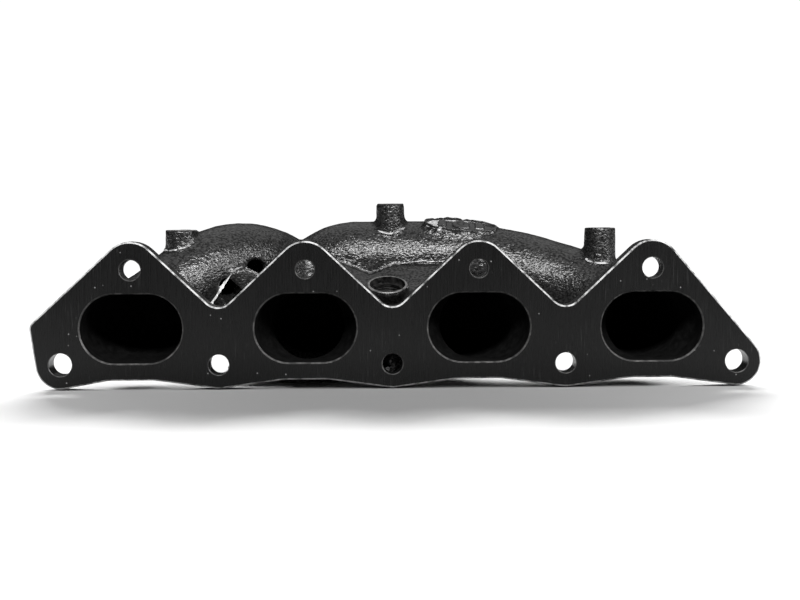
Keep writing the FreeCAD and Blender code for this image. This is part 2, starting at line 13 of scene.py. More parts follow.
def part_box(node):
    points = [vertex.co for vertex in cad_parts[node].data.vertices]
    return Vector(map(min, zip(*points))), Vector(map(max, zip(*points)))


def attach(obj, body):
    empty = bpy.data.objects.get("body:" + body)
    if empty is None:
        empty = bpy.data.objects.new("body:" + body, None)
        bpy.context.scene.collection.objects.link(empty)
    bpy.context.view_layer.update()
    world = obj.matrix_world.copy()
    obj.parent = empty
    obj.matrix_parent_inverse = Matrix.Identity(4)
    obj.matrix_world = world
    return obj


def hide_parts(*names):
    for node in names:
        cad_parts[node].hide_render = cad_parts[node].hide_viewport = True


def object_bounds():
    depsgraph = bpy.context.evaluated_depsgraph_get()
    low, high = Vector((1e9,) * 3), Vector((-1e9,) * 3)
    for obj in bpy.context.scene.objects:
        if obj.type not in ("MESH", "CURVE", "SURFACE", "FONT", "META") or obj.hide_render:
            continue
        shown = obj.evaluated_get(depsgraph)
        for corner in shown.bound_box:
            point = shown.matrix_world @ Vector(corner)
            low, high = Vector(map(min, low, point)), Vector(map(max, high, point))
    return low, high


# Looks of the exhaust manifold: a sand-cast iron manifold with a satin black coating, its head
# flange face ground flat under the coating. Metres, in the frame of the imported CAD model.

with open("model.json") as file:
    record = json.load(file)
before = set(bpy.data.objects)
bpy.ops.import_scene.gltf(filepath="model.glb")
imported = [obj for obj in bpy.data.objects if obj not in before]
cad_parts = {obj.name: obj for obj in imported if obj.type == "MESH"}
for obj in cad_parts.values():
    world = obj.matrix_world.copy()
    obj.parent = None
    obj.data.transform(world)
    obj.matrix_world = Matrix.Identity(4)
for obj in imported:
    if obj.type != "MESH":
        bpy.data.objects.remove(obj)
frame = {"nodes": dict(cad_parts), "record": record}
cad_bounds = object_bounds()

MM = 0.001
NODES = frame["nodes"]
MOUNTS = {mount["name"]: mount for mount in frame["record"]["mounts"]}

# ---------------------------------------------------------------- driving values

VOXEL = 1.0 * MM
FINE_VOXEL = 0.35 * MM
FILLET = 3.2 * MM          # radius the sand mould leaves in every inside corner
BAND = 9                   # cells of distance kept on each side of a surface
SEAM_LAP = 1.6 * MM        # how far neighbouring pieces of the casting run into each other
SEAM_DIP = 0.12 * MM       # how far a piece's skin sinks under its neighbour's there
SHOULDER_BLEND = 3 * MM    # how far the shoulder eases into the runners beside it
FLANGE_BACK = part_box("head_flange")[1].y
ROOM_LIGHT = 0.03          # brightness of the room round the object

# Lines in (x, z) millimetres where the halves of the mould met.
SHOULDER_PARTING = [(-30, 31.5), (-25.6, 30.1), (-12.2, 25.0), (0.5, 29.7), (19.6, 31.9), (34, 31)]
LINK_PARTING = [(-103, 10), (-101, 12.5), (-94.5, 22), (-88.2, 30.3), (-84, 31.6)]

# Pockets left by the sand: (x, z) of the middle, radii, and degrees turned about Y, in millimetres.
SAND_POCKETS = (
    ((-87.2, 12.0), (6.0, 9, 16), 36),
    ((-77.5, 30.5), (5.5, 8, 4.6), 0),
)
POCKET_DEPTH = 2           # from the skin to a pocket's middle, in millimetres
POCKET_LIP = 1.5 * MM      # how far its edge is rounded

SENSOR_MOUTH = (10.0 * MM, 3.9 * MM)       # radius and depth of the sensor boss's counterbore

MACHINED = ("head_flange", "turbo_flange")
UPRIGHT_BOSSES = ("heat_shield_boss_left", "heat_shield_boss_centre", "heat_shield_boss_right")
TURNED = UPRIGHT_BOSSES + ("oxygen_sensor_boss",)
SEPARATE = MACHINED + TURNED + ("badge_pad",)
CAST = tuple(sorted(name for name in NODES if name not in SEPARATE))


# ---------------------------------------------------------------- meshes in and out

def mesh_arrays(item):
    """Vertices and triangles of an object whose mesh is already in place."""
    mesh = item.data
    points = np.empty(len(mesh.vertices) * 3, np.float32)
    mesh.vertices.foreach_get("co", points)
    mesh.calc_loop_triangles()
    triangles = np.empty(len(mesh.loop_triangles) * 3, np.int32)
    mesh.loop_triangles.foreach_get("vertices", triangles)
    return points.reshape(-1, 3), triangles.reshape(-1, 3)


def joined_arrays(names):
    points, triangles, start = [], [], 0
    for name in names:
        some_points, some_triangles = mesh_arrays(NODES[name])
        points.append(some_points)
        triangles.append(some_triangles + start)
        start += len(some_points)
    return np.concatenate(points), np.concatenate(triangles)


def surface_tree(names):
    points, triangles = joined_arrays(names)
    return BVHTree.FromPolygons(points.tolist(), triangles.tolist())


def enclosed_volume(points, quads):
    a, b, c, d = (points[quads[:, k]] for k in range(4))
    first = np.einsum("ij,ij->i", a, np.cross(b, c)).sum()
    second = np.einsum("ij,ij->i", a, np.cross(c, d)).sum()
    return (first + second) / 6


def new_object(name, points, faces):
    mesh = bpy.data.meshes.new(name)
    mesh.from_pydata(points, [], faces)
    mesh.validate()
    item = bpy.data.objects.new(name, mesh)
    bpy.context.scene.collection.objects.link(item)
    return item


# ---------------------------------------------------------------- distance fields

def level_set(points, triangles=None, quads=None, voxel=VOXEL, band=BAND):
    return openvdb.FloatGrid.createLevelSetFromPolygons(
        np.ascontiguousarray(points, np.float32),
        triangles=None if triangles is None else np.ascontiguousarray(triangles, np.uint32),
        quads=None if quads is None else np.ascontiguousarray(quads, np.uint32),
        transform=openvdb.createLinearTransform(voxel),
        halfWidth=band,
    )


class Window:
    """A block of cells, by its lowest cell and its shape."""

    def __init__(self, low, high, voxel=VOXEL, margin=BAND):
        self.voxel = voxel
        self.origin = np.floor(np.array(low) / voxel).astype(int) - margin
        last = np.ceil(np.array(high) / voxel).astype(int) + margin
        self.shape = tuple(last - self.origin + 1)

    def read(self, grid):
        cells = np.zeros(self.shape, np.float32)
        grid.copyToArray(cells, ijk=tuple(int(v) for v in self.origin))
        return cells

    def axes(self):
        """Coordinates of the cells along X, Y and Z, shaped to broadcast."""
        lines = [(self.origin[k] + np.arange(self.shape[k])) * self.voxel for k in range(3)]
        return lines[0][:, None, None], lines[1][None, :, None], lines[2][None, None, :]

    def part_of(self, other):
        """Slices that pick this window's cells out of a larger window's."""
        start = self.origin - other.origin
        return tuple(slice(start[k], start[k] + self.shape[k]) for k in range(3))

    def surface(self, cells):
        """Points and outward quads of the surface where the field is zero."""
        grid = openvdb.FloatGrid()
        grid.background = float(cells.max())
        grid.copyFromArray(cells, ijk=tuple(int(v) for v in self.origin))
        grid.transform = openvdb.createLinearTransform(self.voxel)
        points, quads = grid.convertToQuads(0.0)
        quads = quads.astype(np.int64)
        if enclosed_volume(points.astype(np.float64), quads) < 0:
            quads = quads[:, ::-1]
        return points, quads


def smooth_union(a, b, reach):
    blend = np.maximum(reach - np.abs(a - b), 0) / reach
    return np.minimum(a, b) - blend * blend * reach / 4


class Lattice:
    """Smooth noise from random values on a cubic lattice, between -1 and 1."""

    def __init__(self, spacing, seed):
        self.spacing = spacing
        self.low = np.array(cad_bounds[0]) - 0.03
        span = np.array(cad_bounds[1]) + 0.03 - self.low
        counts = np.ceil(span / spacing).astype(int) + 2
        self.values = np.random.default_rng(seed).uniform(-1, 1, counts).astype(np.float32)

    def places(self, line, axis):
        steps = (line - self.low[axis]) / self.spacing
        cell = np.floor(steps).astype(int)
        share = (steps - cell).astype(np.float32)
        return cell, share * share * (3 - 2 * share)

    def on_cells(self, window):
        values = self.values
        for axis, line in enumerate(window.axes()):
            cell, share = self.places(line.ravel(), axis)
            shape = [1, 1, 1]
            shape[axis] = -1
            share = share.reshape(shape)
            before, after = np.take(values, cell, axis), np.take(values, cell + 1, axis)
            values = before * (1 - share) + after * share
        return values

    def at(self, points):
        cells, shares = zip(*(self.places(points[:, axis], axis) for axis in range(3)))
        total = np.zeros(len(points), np.float32)
        for corner in range(8):
            bits = [(corner >> axis) & 1 for axis in range(3)]
            weight = np.ones(len(points), np.float32)
            for share, bit in zip(shares, bits):
                weight = weight * (share if bit else 1 - share)
            total += weight * self.values[tuple(cell + bit for cell, bit in zip(cells, bits))]
        return total


# How the cast skin leaves its drawn surface: (height, spacing of the lattice, seed).
CAST_SWELLS = (
    (0.30 * MM, 17 * MM, 11),
    (0.14 * MM, 6.1 * MM, 12),
    (0.10 * MM, 2.9 * MM, 13),
    (0.09 * MM, 1.7 * MM, 14),
)
SWELLS = [(height, Lattice(spacing, seed)) for height, spacing, seed in CAST_SWELLS]


def swell_on(window):
    return sum(height * lattice.on_cells(window) for height, lattice in SWELLS)


def swell_at(points):
    return sum(height * lattice.at(points) for height, lattice in SWELLS)


# ---------------------------------------------------------------- the fields of the casting

FULL = Window(*cad_bounds, margin=BAND + 2)


def mould_field():
    """Distance to the whole casting with every inside corner rounded, negative inside."""
    names = [name for name in NODES if name not in ("badge_pad", "runner_shoulder")]
    points, triangles = joined_arrays(names)
    grown, quads = level_set(points, triangles, band=FILLET / VOXEL + 3).convertToQuads(FILLET)
    shrunk = level_set(grown, quads=quads, band=FILLET / VOXEL + BAND)
    return FULL.read(shrunk) + FILLET


def add_shoulder(cells):
    """The shoulder below the long runner, as high as the line where the moulds met."""
    part, distance = own["runner_shoulder"]
    view = part.part_of(FULL)
    x, _, z = part.axes()
    line_x, line_z = zip(*SHOULDER_PARTING)
    top = np.interp(x, np.array(line_x) * MM, np.array(line_z) * MM)
    trimmed = np.maximum(distance, (z - top) * 0.8)
    cells[view] = smooth_union(cells[view], trimmed, SHOULDER_BLEND)


def node_distances():
    """Each cast node's own distance, the two least of them, and that of the separate nodes."""
    near = np.full(FULL.shape, BAND * VOXEL, np.float32)
    second = near.copy()
    apart = near.copy()
    own = {}
    for name in sorted(NODES):
        if name == "badge_pad":
            continue
        points, triangles = mesh_arrays(NODES[name])
        part = Window(points.min(0), points.max(0))
        cells = part.read(level_set(points, triangles))
        view = part.part_of(FULL)
        if name in SEPARATE:
            apart[view] = np.minimum(apart[view], cells)
            continue
        own[name] = (part, cells)
        second[view] = np.minimum(second[view], np.maximum(near[view], cells))
        near[view] = np.minimum(near[view], cells)
    return own, near, second, apart


mould = mould_field()
own, near, second, apart = node_distances()
add_shoulder(mould)


# ---------------------------------------------------------------- marks of the sand mould

CASTING_TREE = surface_tree(CAST)


def on_skin(x, z):
    """The first point of the casting's skin behind the head flange at (x, z), in millimetres, and
    its outward direction; None where there is only air."""
    column, level = (int(round(v * MM / VOXEL)) - FULL.origin[k] for v, k in ((x, 0), (z, 2)))
    first = int(math.ceil((FLANGE_BACK + 0.2 * MM) / VOXEL)) - FULL.origin[1]
    line = mould[column, first:, level]
    inside = np.flatnonzero(line < 0)
    if len(inside) == 0 or inside[0] == 0:
        return None, None
    row = first + inside[0]
    before, after = line[inside[0] - 1], line[inside[0]]
    depth = (row - 1 + before / (before - after) + FULL.origin[1]) * VOXEL
    near_by = mould[column - 1:column + 2, row - 1:row + 2, level - 1:level + 2]
    slope = np.array([near_by[2, 1, 1] - near_by[0, 1, 1], near_by[1, 2, 1] - near_by[1, 0, 1],
                      near_by[1, 1, 2] - near_by[1, 1, 0]])
    return np.array([x * MM, depth, z * MM]), slope / max(np.linalg.norm(slope), 1e-9)


def parting_strip(corners, rise_mm, height, width, seed):
    """Points and quads of a ragged ridge of flash along a line on the skin, rise_mm above it."""
    rng = np.random.default_rng(seed)
    steps = []
    for (x1, z1), (x2, z2) in zip(corners, corners[1:]):
        count = max(2, int(math.hypot(x2 - x1, z2 - z1) / 0.4))
        steps += [(x1 + (x2 - x1) * k / count, z1 + (z2 - z1) * k / count) for k in range(count)]
    wander = 0.6 * np.convolve(rng.uniform(-1, 1, len(steps) + 8), np.ones(9) / 9, "valid")
    swell = np.convolve(rng.uniform(-1, 1, len(steps) + 2), np.ones(3) / 3, "valid")
    found = [on_skin(x, z + sideways + rise_mm) for (x, z), sideways in zip(steps, wander)]
    kept = [
        (point, normal, more) for (point, normal), more in zip(found, swell)
        if point is not None
    ]
    places = np.array([point for point, _, _ in kept])
    outward = np.array([normal for _, normal, _ in kept])
    for _ in range(3):
        places[1:-1] = (places[:-2] + 2 * places[1:-1] + places[2:]) / 4
        outward[1:-1] = (outward[:-2] + 2 * outward[1:-1] + outward[2:]) / 4
    along = np.gradient(places, axis=0)
    along /= np.linalg.norm(along, axis=1)[:, None]
    outward -= along * (outward * along).sum(1)[:, None]
    outward /= np.linalg.norm(outward, axis=1)[:, None]
    across = np.cross(along, outward)
    more = np.array([more for _, _, more in kept])[:, None]
    profile = ((-1.0, -1.2), (-0.75, 0.05), (-0.25, 0.8), (0.15, 1.0), (0.7, 0.2), (1.0, -1.2))
    width = width * (1 + 0.5 * more)
    height = height * (1 + 0.6 * more)
    rings = [places + across * width * side + outward * height * rise for side, rise in profile]
    points = np.stack(rings, 1).reshape(-1, 3)
    size = len(profile)
    quads = []
    for row in range(len(places) - 1):
        for k in range(size):
            a, b = row * size + k, row * size + (k + 1) % size
            quads.append((a, b, b + size, a + size))
    last = (len(places) - 1) * size
    quads += [(0, 5, 4, 1), (1, 4, 3, 2)]
    quads += [tuple(last + k for k in order) for order in ((0, 1, 4, 5), (1, 2, 3, 4))]
    quads = np.array(quads)
    if enclosed_volume(points, quads) < 0:
        quads = quads[:, ::-1]
    return points, quads


def hollow(centre, radii, turn):
    """A rough pocket left by the sand: an ellipsoid turned about Y, cut out of the field."""
    centre = np.array(centre) * MM
    radii = np.array(radii) * MM
    reach = radii.max() + 2 * MM
    block = Window(centre - reach, centre + reach, margin=1)
    view = block.part_of(FULL)
    x, y, z = block.axes()
    x, y, z = x - centre[0], y - centre[1], z - centre[2]
    c, s = math.cos(math.radians(turn)), math.sin(math.radians(turn))
    a, b = x * c + z * s, z * c - x * s
    shape = np.sqrt((a / radii[0]) ** 2 + (y / radii[1]) ** 2 + (b / radii[2]) ** 2)
    mould[view] = -smooth_union(-mould[view], (shape - 1) * radii.min(), POCKET_LIP)


FLASH = {
    "runner_shoulder": parting_strip(SHOULDER_PARTING, 1.1, 1.3 * MM, 0.5 * MM, 21),
    "runner_link": parting_strip(LINK_PARTING, -0.6, 1.2 * MM, 0.5 * MM, 22),
}
for place, radii, turn in SAND_POCKETS:
    skin, _ = on_skin(*place)
    if skin is not None:
        hollow(skin / MM + np.array((0, POCKET_DEPTH, 0)), radii, turn)


# ---------------------------------------------------------------- cast pieces

def carve(middle, axis, radius, reach):
    """Cuts a cylinder, reach to each side of its middle, out of the mould field."""
    block = Window(middle - reach - radius, middle + reach + radius, margin=2)
    view = block.part_of(FULL)
    x, y, z = block.axes()
    dx, dy, dz = x - middle[0], y - middle[1], z - middle[2]
    along = dx * axis[0] + dy * axis[1] + dz * axis[2]
    across = np.sqrt(np.maximum(dx * dx + dy * dy + dz * dz - along * along, 0))
    mould[view] = np.maximum(mould[view], -np.maximum(across - radius, np.abs(along) - reach))


def carve_bores():
    """Keeps the threaded holes open through the casting behind the bosses."""
    for name, mount in MOUNTS.items():
        if mount["kind"] != "threaded_hole":
            continue
        axis, middle = np.array(mount["axis"]), np.array(mount["pos_m"])
        half = mount["dims"]["length_mm"] * MM / 2
        carve(middle, axis, mount["dims"]["r_mm"] * MM + 0.4 * MM, half + 0.6 * MM)
        if name == "oxygen_sensor_thread":
            radius, depth = SENSOR_MOUTH
            carve(middle + axis * (half + depth), axis, radius + 0.5 * MM, depth)


carve_bores()
mould += swell_on(FULL)


def cast_field(name):
    part, cells = own[name]
    view = part.part_of(FULL)
    rival = np.where(cells <= near[view], second[view], near[view])
    overlap = (cells - rival) / 2
    skin = mould[view] + np.clip(overlap / (0.5 * SEAM_LAP), 0, 1) * SEAM_DIP
    inside_apart = -apart[view] - SEAM_LAP
    return part, np.maximum(np.maximum(skin, overlap - SEAM_LAP), inside_apart)


def finish_piece(item, nodes, materials, crease=42, keep_flat=False):
    """Materials, shading and place in the frame; edges sharper than crease degrees stay sharp."""
    for material in materials:
        item.data.materials.append(material)
    if not keep_flat:
        item.data.shade_smooth()
    item.data.set_sharp_from_angle(angle=math.radians(crease))
    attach(item, "root")
    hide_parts(*nodes)
    return item


CRUMB = 60


def drop_crumbs(points, quads):
    """Drops connected surfaces of fewer than CRUMB faces."""
    parent = np.arange(len(points))
    for _ in range(200):
        low = parent[quads].min(1)
        before = parent.copy()
        for k in range(4):
            np.minimum.at(parent, quads[:, k], low)
        parent = parent[parent]
        if (parent == before).all():
            break
    labels = parent[quads[:, 0]]
    names, counts = np.unique(labels, return_counts=True)
    keep = np.isin(labels, names[counts >= CRUMB])
    quads = quads[keep]
    used = np.unique(quads)
    index = np.zeros(len(points), np.int64)
    index[used] = np.arange(len(used))
    return points[used], index[quads]


def mouth_centres(axis):
    """Centres of the gas passages' mouths, from the record's openings, by the way they face."""
    word = {1: "port", 2: "turbo"}[axis]
    openings = frame["record"]["physics"]["openings"]
    boxes = [entry["box_m"] for entry in openings if entry["name"].startswith(word)]
    return [[(a + b) / 2 for a, b in zip(*box)] for box in boxes]


SHUT_STEP = 3              # cells of the field to a cell of the coarse grid
SHUT_REACH = 24            # how far each look goes, in coarse cells


def shut_in():
    """How much of the view from each cell of a coarse grid is metal within reach, 0 to 1."""
    solid = mould[::SHUT_STEP, ::SHUT_STEP, ::SHUT_STEP] < 0
    blocked = np.zeros(solid.shape, np.float32)
    ways = [way for way in itertools.product((-1, 0, 1), repeat=3) if any(way)]
    for way in ways:
        hit = np.zeros(solid.shape, bool)
        for far in range(1, SHUT_REACH):
            shift = [far * step for step in way]
            to = tuple(slice(max(0, -v), n - max(0, v)) for v, n in zip(shift, solid.shape))
            source = tuple(slice(max(0, v), n - max(0, -v)) for v, n in zip(shift, solid.shape))
            if any(part.start >= part.stop for part in to):
                break
            hit[to] |= solid[source]
        blocked += hit
    return blocked / len(ways)


# How shut in by metal each place is; this decides where the passages get painted shade.
SHUT_IN = shut_in()

# Behind a port's mouth: the slot's half width, half height and depth, then the radius and depth of
# the round passage it turns into.
SLOT_REACH = (28.5 * MM, 20 * MM, 50 * MM)
TUBE_REACH = (22 * MM, 80 * MM)


def painted_shade_lining(points, quads):
    """Which faces get the painted shade of the gas passages: those of the slots that face inward,
    and those of the round passages that look onto metal nearly all round."""
    corners = [points[quads[:, k]] for k in range(4)]
    normal = np.cross(corners[2] - corners[0], corners[3] - corners[1])
    normal /= np.maximum(np.linalg.norm(normal, axis=1), 1e-12)[:, None]
    centre = sum(corners) / 4
    cells = np.round(((centre + normal * 4.5 * MM) / VOXEL - FULL.origin) / SHUT_STEP).astype(int)
    cells = np.clip(cells, 0, np.array(SHUT_IN.shape) - 1)
    enclosed = SHUT_IN[cells[:, 0], cells[:, 1], cells[:, 2]] > 0.55
    lining = np.zeros(len(quads), bool)
    for mouth in mouth_centres(1):
        x, z = centre[:, 0] - mouth[0], centre[:, 2] - mouth[2]
        stub = (np.abs(x) < SLOT_REACH[0]) & (np.abs(z) < SLOT_REACH[1])
        stub &= centre[:, 1] < SLOT_REACH[2]
        tube = (np.hypot(x, z) < TUBE_REACH[0]) & (centre[:, 1] < TUBE_REACH[1])
        facing_in = x * normal[:, 0] + z * normal[:, 2] < 0
        lining |= (stub & facing_in) | (tube & enclosed)
    return lining


def cast_piece(name):
    """The node's share of the casting, with painted shade in its passage and a painted highlight on
    its flash.
    """
    part, field = cast_field(name)
    points, quads = drop_crumbs(*part.surface(field))
    slots = painted_shade_lining(points.astype(float), quads).astype(np.int32)
    if name in FLASH:
        more_points, more_quads = FLASH[name]
        quads = np.concatenate([quads, more_quads + len(points)])
        points = np.concatenate([points, more_points])
        # Slot 2 is the painted highlight on the flash ridge.
        slots = np.concatenate([slots, np.full(len(more_quads), 2, np.int32)])
    item = new_object(name + "_cast", points.tolist(), quads.tolist())
    item.data.polygons.foreach_set("material_index", slots)
    return finish_piece(item, [name], [CAST_IRON, PASSAGE_PAINTED_SHADE, FLASH_PAINTED_HIGHLIGHT])


# ---------------------------------------------------------------- turned bosses

COLUMNS = 120
SINK = 2.4 * MM            # how far a boss stands in the wall it grows from
EDGE = 0.35 * MM           # chamfer round the top
# HOLE_SHADE_SLOT paints shade down the threaded hole.
CAST_SLOT, TURNED_SLOT, HOLE_SHADE_SLOT, CREST_HIGHLIGHT_SLOT = range(4)       # a boss's materials, in order


def side_frame(along):
    """Two directions square to the one given."""
    first = Vector((1, 0, 0))
    first = (first - along * first.dot(along)).normalized()
    return first, along.cross(first)


def foot_depths(rim, along, first, second, radius, tree, furthest):
    """How far below the rim each column meets the casting."""
    depths = []
    for k in range(COLUMNS):
        angle = 2 * math.pi * k / COLUMNS
        outward = first * math.cos(angle) + second * math.sin(angle)
        start = rim + outward * radius - along * (0.5 * MM)
        hit = tree.ray_cast(start, -along, furthest)
        depths.append((hit[3] + 0.5 * MM if hit[0] else furthest) + SINK)
    return np.array(depths)


def eased(depths):
    """Softens steps between neighbouring columns."""
    for _ in range(3):
        depths = (np.roll(depths, 1) + 2 * depths + np.roll(depths, -1)) / 4
    return depths


def turned_boss(name, mount, rim, rim_radius, taper, mouth, pitch, through, rough, bead):
    """A boss with a rough cast side, a machined top and a threaded hole: rings from the foot up
    the side, over the top and down the hole. mouth is the counterbore's radius and depth, taper
    is the change of radius per metre of depth, and bead is how far the joint of the mould stands
    out round the foot."""
    along = Vector(mount["axis"]).normalized()
    first, second = side_frame(along)
    bore = mount["dims"]["r_mm"] * MM
    angles = np.arange(COLUMNS) * 2 * math.pi / COLUMNS
    outward = np.outer(np.cos(angles), first) + np.outer(np.sin(angles), second)
    centre, down = np.array(rim), -np.array(along)
    furthest = 34 * MM
    foot = eased(foot_depths(rim, along, first, second, rim_radius, CASTING_TREE, furthest))

    def ring(radius, depth):
        radius = np.broadcast_to(radius, COLUMNS)[:, None]
        depth = np.broadcast_to(depth, COLUMNS)[:, None]
        return centre + outward * radius + down * depth

    rings, cut, highlight_crest = [], [], {}
    if not through:
        for share in (0.25, 0.6, 0.85):
            rings.append(ring(rim_radius * share, foot))
            cut.append(False)
    steps = 46
    for k in range(steps, -1, -1):
        depth = EDGE + (foot - EDGE) * k / steps
        some = ring(rim_radius + taper * depth, depth)
        fade = np.clip((depth - EDGE) / (1.6 * MM), 0, 1)
        lumps = ROUGH.at(some)
        above_foot = (foot - SINK - depth) / (1.0 * MM)
        joint = bead * (1 + 1.2 * lumps) * np.exp(-above_foot ** 2)
        lift = -swell_at(some) * 1.6 + rough * lumps + joint
        # The bead round the foot gets a painted highlight, for the light it catches.
        highlight_crest[len(rings)] = (np.abs(above_foot - 0.35) < 0.45) & (bead > 0)
        rings.append(some + outward * (lift * fade)[:, None])
        cut.append(False)
    land = rim_radius - EDGE
    down_the_hole = len(rings) + 3
    rings += [ring(land, 0), ring((land + mouth[0]) / 2, 0), ring(mouth[0], 0)]
    rings += [ring(mouth[0] - 0.1 * MM, 0.9 * mouth[1]), ring(bore, mouth[1])]
    cut += [True] * 5
    length = mount["dims"]["length_mm"] * MM
    start = mouth[1] + 0.2 * MM
    if through:
        bottom = eased(foot_depths(rim, along, first, second, bore, CASTING_TREE, furthest))
    else:
        bottom = np.full(COLUMNS, mouth[1] + length)
    turns = angles / (2 * math.pi)
    levels = int(length / pitch * 10)
    for k in range(levels + 1):
        depth = start + (length - 0.4 * MM) * k / levels
        depth = np.minimum(depth, bottom)
        phase = (depth / pitch + turns) % 1
        groove = np.abs(phase * 2 - 1)
        runout = np.clip((depth - start) / pitch, 0, 1) * np.clip((bottom - depth) / pitch, 0, 1)
        rings.append(ring(bore + 0.55 * pitch * groove * runout, depth))
        cut.append(True)
    if through:
        rings.append(ring(bore, bottom))
        cut.append(True)

    points = np.concatenate(rings)
    faces, slots = [], []
    pairs = list(zip(range(len(rings) - 1), range(1, len(rings))))
    if through:
        pairs.append((len(rings) - 1, 0))
    for a, b in pairs:
        for k in range(COLUMNS):
            j = (k + 1) % COLUMNS
            faces.append((a * COLUMNS + k, a * COLUMNS + j, b * COLUMNS + j, b * COLUMNS + k))
            if a in highlight_crest and highlight_crest[a][k]:
                slots.append(CREST_HIGHLIGHT_SLOT)
            elif not (cut[a] or cut[b]):
                slots.append(CAST_SLOT)
            else:
                slots.append(TURNED_SLOT if b < down_the_hole else HOLE_SHADE_SLOT)
    if not through:
        lowest, deepest = len(points), len(points) + 1
        ends = [centre + down * foot.mean(), centre + down * (bottom.mean() + 0.4 * MM)]
        points = np.concatenate([points, ends])
        last = (len(rings) - 1) * COLUMNS
        for k in range(COLUMNS):
            j = (k + 1) % COLUMNS
            faces.append((j, k, lowest))
            slots.append(CAST_SLOT)
            faces.append((last + k, last + j, deepest))
            slots.append(HOLE_SHADE_SLOT)
    item = new_object(name + "_turned", points.tolist(), faces)
    item.data.polygons.foreach_set("material_index", slots)
    materials = [CAST_IRON, TURNED_IRON, HOLE_SHADE_IRON, WORN_EDGE_AND_HIGHLIGHT]
    return finish_piece(item, [name], materials, crease=32)


ROUGH = Lattice(2.3 * MM, 31)


def upright_boss(name):
    mount = MOUNTS[name.replace("boss", "thread")]
    low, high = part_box(name)
    rim = Vector((mount["pos_m"][0], mount["pos_m"][1], high.z))
    draft = 0.5 * MM
    rim_radius = (high.x - low.x) / 2 - draft
    mouth = (mount["dims"]["r_mm"] * MM + 0.8 * MM, 0.8 * MM)
    return turned_boss(name, mount, rim, rim_radius, taper=0.02, mouth=mouth, pitch=1.25 * MM,
                       through=False, rough=0.16 * MM, bead=1.0 * MM)


def sensor_boss(name):
    mount = MOUNTS["oxygen_sensor_thread"]
    rim_radius = 11.4 * MM
    along = Vector(mount["axis"]).normalized()
    rim = Vector(mount["pos_m"]) + along * (mount["dims"]["length_mm"] * MM / 2 + SENSOR_MOUTH[1])
    return turned_boss(name, mount, rim, rim_radius, taper=-0.104, mouth=SENSOR_MOUTH,
                       pitch=1.5 * MM, through=True, rough=0.5 * MM, bead=0)


# ---------------------------------------------------------------- badge

BADGE_TILT = 26.0          # degrees toward the viewer
BADGE_ROLL = 5.5           # degrees down to the right
BADGE_RIM = 1.3 * MM
BADGE_RECESS = 2.0 * MM
BADGE_HEXAGON = 4.6 * MM   # half its width across flats
BADGE_BARS = (11 * MM, 2 * MM, 3.4 * MM)       # distance from the middle, half width, half height


def ellipse_distance(a, b, half_length, half_width):
    scaled = np.sqrt((a / half_length) ** 2 + (b / half_width) ** 2)
    slope = np.sqrt((a / half_length ** 2) ** 2 + (b / half_width ** 2) ** 2)
    return scaled * (scaled - 1) / np.maximum(slope, 1e-6)


